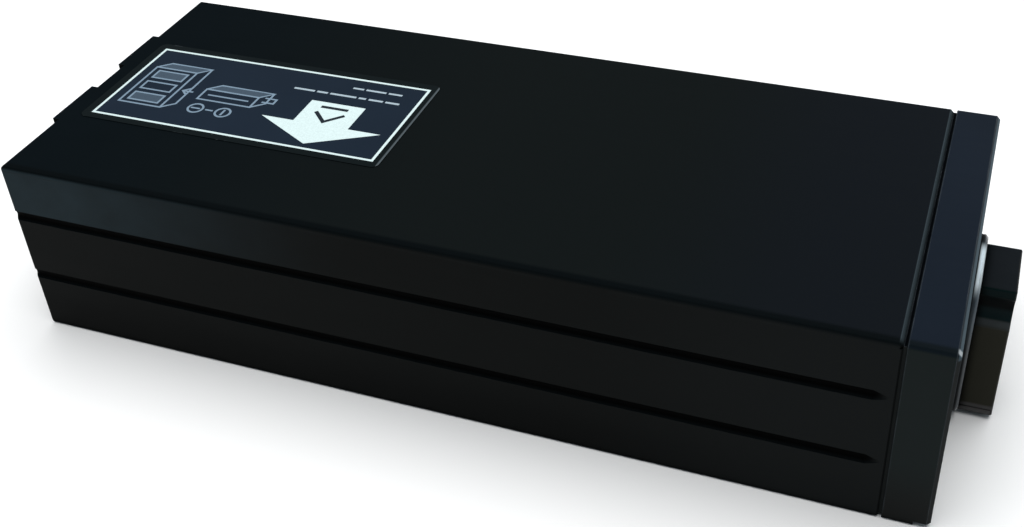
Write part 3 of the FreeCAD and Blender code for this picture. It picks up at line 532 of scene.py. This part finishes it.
white_ink = ink("white_ink", colour=(0.58, 0.70, 0.70))
pale_ink = ink("pale_ink", colour=(0.34, 0.42, 0.47))
blue_ink = ink("blue_ink", colour=(0.17, 0.24, 0.31))
shade_ink = ink("shade_ink", colour=(0.045, 0.068, 0.096))
navy_ink = ink("navy_ink", colour=(0.010, 0.014, 0.020))

SLOT_MATERIALS = {
    "case_plastic": case_black,
    "cap_plastic": cap_black,
    "grip_plastic": grip_black,
    "flange_plastic": flange_gloss,
    "label_film": label_navy,
    "block_case": block_grey,
    "inner_plastic": inner_black,
    "connector_plastic": connector_grey,
    "fuse_body": ceramic_white,
    "brass_parts": brass_metal,
    "tinned_copper": tinned_metal,
    "zinc_steel": zinc_metal,
    "foam": foam_grey,
}


def dress_cad_nodes():
    for entry in frame["record"]["subparts"]:
        node = frame["nodes"][entry["node"]]
        material = SLOT_MATERIALS[entry["material_slot"]]
        for place in node.material_slots:
            place.link = "OBJECT"
            place.material = material


# ------------------------------------------------------------------ label print
# Outlines and lines of the print are in millimetres from the label's centre.
PRINT_THICKNESS = 0.06 * MM
PRINT_SINK = 0.02 * MM                     # how far the print reaches into the film
PRINT_STEP = 0.004 * MM                    # between crossing lines
PRINT_LOW = LABEL_TOP - PRINT_SINK
PRINT_HIGH = LABEL_TOP + PRINT_THICKNESS
LEAST_MITRE = 0.5                          # keeps the mitre of a sharp corner short


def corner_of(bm, x, y, z):
    return bm.verts.new((LABEL_X + x * MM, LABEL_Y + y * MM, z))


def print_piece(name, bm, material):
    """Makes closed plates of ink into a piece that rides the part's body."""
    mesh = bpy.data.meshes.new(name)
    bmesh.ops.recalc_face_normals(bm, faces=bm.faces)
    bm.to_mesh(mesh)
    bm.free()
    piece = bpy.data.objects.new(name, mesh)
    bpy.context.collection.objects.link(piece)
    mesh.materials.append(material)
    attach(piece, BODY)


def flat_piece(name, outlines, material):
    """Thin closed plates over outlines."""
    bm = bmesh.new()
    for outline in outlines:
        under = [corner_of(bm, x, y, PRINT_LOW) for x, y in outline]
        over = [corner_of(bm, x, y, PRINT_HIGH) for x, y in outline]
        bm.faces.new(over)
        bm.faces.new(list(reversed(under)))
        for i in range(len(outline)):
            j = (i + 1) % len(outline)
            bm.faces.new((under[i], under[j], over[j], over[i]))
    print_piece(name, bm, material)


def ribbon(name, lines, width, material, lift):
    """Mitred strips of ink along open or closed lines, each a hair above the one before."""
    bm = bmesh.new()
    for order, (points, closed) in enumerate(lines):
        high = PRINT_HIGH + lift + order * PRINT_STEP
        count = len(points)
        rings = []
        for i, point in enumerate(points):
            here = Vector(point)
            before = Vector(points[i - 1]) if closed or i > 0 else None
            after = Vector(points[(i + 1) % count]) if closed or i < count - 1 else None
            into = (here - before).normalized() if before else (after - here).normalized()
            away = (after - here).normalized() if after else into
            middle = (into + away).normalized()
            reach = width / 2 / max(middle.dot(into), LEAST_MITRE)
            side = Vector((-middle.y, middle.x)) * reach
            right, left = here - side, here + side
            rings.append([corner_of(bm, right.x, right.y, PRINT_LOW),
                          corner_of(bm, left.x, left.y, PRINT_LOW),
                          corner_of(bm, left.x, left.y, high),
                          corner_of(bm, right.x, right.y, high)])
        for a, b in zip(rings, rings[1:] + (rings[:1] if closed else [])):
            for k in range(4):
                bm.faces.new((a[k], b[k], b[(k + 1) % 4], a[(k + 1) % 4]))
        if not closed:
            bm.faces.new(rings[0])
            bm.faces.new(list(reversed(rings[-1])))
    print_piece(name, bm, material)


def rectangle(x0, y0, x1, y1):
    return [(x0, y0), (x1, y0), (x1, y1), (x0, y1)]


def circle(centre, radius, steps=24):
    turns = [2 * math.pi * i / steps for i in range(steps)]
    return [(centre[0] + radius * math.cos(turn), centre[1] + radius * math.sin(turn))
            for turn in turns]


def make_border():
    x0, x1, y0, y1 = BORDER_X0, BORDER_X1, BORDER_Y0, BORDER_Y1
    w = BORDER_LINE
    flat_piece("label_border", [
        rectangle(x0, y0, x1, y0 + w),
        rectangle(x0, y1 - w, x1, y1),
        rectangle(x0, y0 + w, x0 + w, y1 - w),
        rectangle(x1 - w, y0 + w, x1, y1 - w),
    ], white_ink)


ARROW_X = 45.6
ARROW_TIP_Y = -33.5
ARROW_BARB_Y = -13.6
ARROW_TAIL_Y = 9.0
ARROW_HALF_HEAD = 37.5
ARROW_HALF_SHAFT = 17.2


def make_arrow():
    x = ARROW_X
    flat_piece("label_arrow", [
        [(x, ARROW_TIP_Y),
         (x + ARROW_HALF_HEAD, ARROW_BARB_Y), (x + ARROW_HALF_SHAFT, ARROW_BARB_Y),
         (x - ARROW_HALF_SHAFT, ARROW_BARB_Y), (x - ARROW_HALF_HEAD, ARROW_BARB_Y)],
        rectangle(x - ARROW_HALF_SHAFT, ARROW_BARB_Y, x + ARROW_HALF_SHAFT, ARROW_TAIL_Y),
    ], white_ink)


# Each row of bars: its foot, its height, and where its bars start and end.
BAR_ROWS = [
    (17.6, 1.7, [(11.6, 25.0), (26.6, 33.5), (35.2, 52.0), (53.6, 58.2), (60.0, 69.0),
                 (70.6, 79.3)]),
    (26.9, 1.6, [(45.5, 52.4), (54.0, 66.8), (68.4, 77.0)]),
]


def make_bar_rows():
    """Plain bars in rows, where small print would be."""
    bars = []
    for y, height, spans in BAR_ROWS:
        bars += [rectangle(x0, y, x1, y + height) for x0, x1 in spans]
    flat_piece("label_rows", bars, pale_ink)


SKETCH_LINE = 1.3
SKETCH_LIFT = 0.01 * MM
SLANT_X, SLANT_Y = 7.0, 6.0                # how far the sketch's depth runs to the side and up
CABINET_X0, CABINET_X1 = -82.0, -54.0
CABINET_Y0, CABINET_Y1 = -23.0, 17.0
BAY_X0, BAY_X1 = -78.0, -58.0
BAY_FEET = (-19.5, -7.0, 5.5)
BAY_HEIGHT = 8.0
CARTRIDGE_X0, CARTRIDGE_X1 = -38.0, -3.0
CARTRIDGE_Y0, CARTRIDGE_Y1 = -8.5, 2.5
HANDLE_X0, HANDLE_X1 = 1.0, 8.5
HANDLE_Y0, HANDLE_Y1 = -1.5, 3.0
PUSH_Y = -3.0                              # height of the push arrow and the cartridge's line
PUSH_TAIL_X, PUSH_TIP_X = -44.0, -51.0
PUSH_BARB_X, PUSH_BARB_Y = 4.0, 3.5        # from the tip back to a barb
LINE_INSET = 4.0                           # of the cartridge's line from both its ends
SCREW_Y = -18.0
SCREW_NEAR, SCREW_FAR = (-33.0, SCREW_Y), (-15.0, SCREW_Y)
SCREW_RADIUS = 4.5
SLOT_HALF = 3.0
DASH_X0, DASH_X1 = -26.5, -21.5            # of the dash between the screw heads


def slanted_top(x0, x1, y):
    """The four corners of a box's top, drawn on a slant."""
    return [(x0, y), (x1, y), (x1 + SLANT_X, y + SLANT_Y), (x0 + SLANT_X, y + SLANT_Y)]


def back_line(top):
    """The open line round a slanted top, without its near edge."""
    near_left, near_right, far_right, far_left = top
    return [near_left, far_left, far_right, near_right]


def end_line(x, y0, y1):
    """The open line down the far edge of a box's right end and along its foot."""
    return [(x + SLANT_X, y1 + SLANT_Y), (x + SLANT_X, y0 + SLANT_Y), (x, y0)]


def make_pictogram():
    """Generic fitting sketch: a cabinet with three bays and the cartridge that slides in."""
    bays = [rectangle(BAY_X0, y, BAY_X1, y + BAY_HEIGHT) for y in BAY_FEET]
    cabinet_top = slanted_top(CABINET_X0, CABINET_X1, CABINET_Y1)
    cartridge_top = slanted_top(CARTRIDGE_X0, CARTRIDGE_X1, CARTRIDGE_Y1)
    flat_piece("label_sketch_fill", [cabinet_top, bays[0], bays[2], cartridge_top], shade_ink)

    cabinet_front = [(CABINET_X0, CABINET_Y0), (CABINET_X0, CABINET_Y1),
                     (CABINET_X1, CABINET_Y1), (CABINET_X1, CABINET_Y0)]
    ribbon("label_sketch", [
        (cabinet_front, True),
        (back_line(cabinet_top), False),
        (end_line(CABINET_X1, CABINET_Y0, CABINET_Y1), False),
        (bays[0], True), (bays[1], True), (bays[2], True),
        (rectangle(CARTRIDGE_X0, CARTRIDGE_Y0, CARTRIDGE_X1, CARTRIDGE_Y1), True),
        (back_line(cartridge_top), False),
        (end_line(CARTRIDGE_X1, CARTRIDGE_Y0, CARTRIDGE_Y1), False),
        ([(CARTRIDGE_X0 + LINE_INSET, PUSH_Y), (CARTRIDGE_X1 - LINE_INSET, PUSH_Y)], False),
        ([(HANDLE_X0, HANDLE_Y1), (HANDLE_X1, HANDLE_Y1),
          (HANDLE_X1, HANDLE_Y0), (HANDLE_X0, HANDLE_Y0)], False),
        ([(PUSH_TAIL_X, PUSH_Y), (PUSH_TIP_X + 1.0, PUSH_Y)], False),
        ([(PUSH_TIP_X + PUSH_BARB_X, PUSH_Y + PUSH_BARB_Y), (PUSH_TIP_X, PUSH_Y),
          (PUSH_TIP_X + PUSH_BARB_X, PUSH_Y - PUSH_BARB_Y)], False),
        (circle(SCREW_NEAR, SCREW_RADIUS), True), (circle(SCREW_FAR, SCREW_RADIUS), True),
        ([(SCREW_NEAR[0] - SLOT_HALF, SCREW_Y), (SCREW_NEAR[0] + SLOT_HALF, SCREW_Y)], False),
        ([(SCREW_FAR[0], SCREW_Y - SLOT_HALF), (SCREW_FAR[0], SCREW_Y + SLOT_HALF)], False),
        ([(DASH_X0, SCREW_Y), (DASH_X1, SCREW_Y)], False),
    ], SKETCH_LINE, blue_ink, SKETCH_LIFT)


MARK_LINE = 2.4
MARK_LIFT = 0.02 * MM
CHEVRON_HALF = 9.1
CHEVRON_TOP, CHEVRON_TIP = -1.5, -10.5
MARK_BAR_HALF = 8.6
MARK_BAR_Y = 4.0


def make_arrow_marks():
    """A chevron and a bar inside the arrow."""
    x = ARROW_X
    ribbon("label_arrow_marks", [
        ([(x - CHEVRON_HALF, CHEVRON_TOP), (x, CHEVRON_TIP), (x + CHEVRON_HALF, CHEVRON_TOP)],
         False),
        ([(x - MARK_BAR_HALF, MARK_BAR_Y), (x + MARK_BAR_HALF, MARK_BAR_Y)], False),
    ], MARK_LINE, navy_ink, MARK_LIFT)


# ------------------------------------------------------------------ floor and light
FLOOR_SIZE = 12.0
FLOOR_COLOUR = (0.86, 0.86, 0.86, 1)
STUDIO_COLOUR = (0.80, 0.92, 1.0, 1)
STUDIO_STRENGTH = 0.25


def make_floor():
    bpy.ops.mesh.primitive_plane_add(size=FLOOR_SIZE, location=(0, 0, tray_low[2]))
    floor = bpy.context.active_object
    floor.name = "floor"
    tree = Tree("floor_white")
    tree.shader.inputs["Base Color"].default_value = FLOOR_COLOUR
    tree.shader.inputs["Roughness"].default_value = 0.9
    tree.shader.inputs["Specular IOR Level"].default_value = 0.1
    floor.data.materials.append(tree.material)


def area_light(name, place, target, size, power, colour, mirrored=True, along=(1.0, 0.0, 0.0)):
    """A softbox facing its target, with its first side as near as may be to a direction."""
    data = bpy.data.lights.new(name, "AREA")
    data.shape = "RECTANGLE"
    data.size, data.size_y = size
    data.energy = power
    data.color = colour
    light = bpy.data.objects.new(name, data)
    bpy.context.collection.objects.link(light)
    back = (Vector(place) - Vector(target)).normalized()
    side = Vector(along)
    side = (side - back * side.dot(back)).normalized()
    turn = Matrix((side, back.cross(side), back)).transposed().to_4x4()
    light.matrix_world = Matrix.Translation(place) @ turn
    light.visible_glossy = mirrored


def make_light():
    scene = bpy.context.scene
    scene.view_settings.view_transform = "Standard"
    world = bpy.data.worlds.new("studio")
    scene.world = world
    world.use_nodes = True
    background = world.node_tree.nodes["Background"]
    background.inputs["Color"].default_value = STUDIO_COLOUR
    background.inputs["Strength"].default_value = STUDIO_STRENGTH
    area_light("overhead", place=(0.0, 0.1, 2.6), target=(0, 0, 0), size=(3.2, 3.2),
               power=120, colour=(1.0, 0.99, 0.98), mirrored=False)
    area_light("back_strip", place=(0.99, 1.9, 0.78), target=(0.25, 0, 0.09), size=(2.2, 0.6),
               power=7, colour=(0.86, 0.95, 1.0), along=(1.38, 0.0, -1.45))


# ------------------------------------------------------------------ the whole scene
make_camera()
dress_cad_nodes()
make_border()
make_arrow()
make_bar_rows()
make_pictogram()
make_arrow_marks()
make_floor()
make_light()
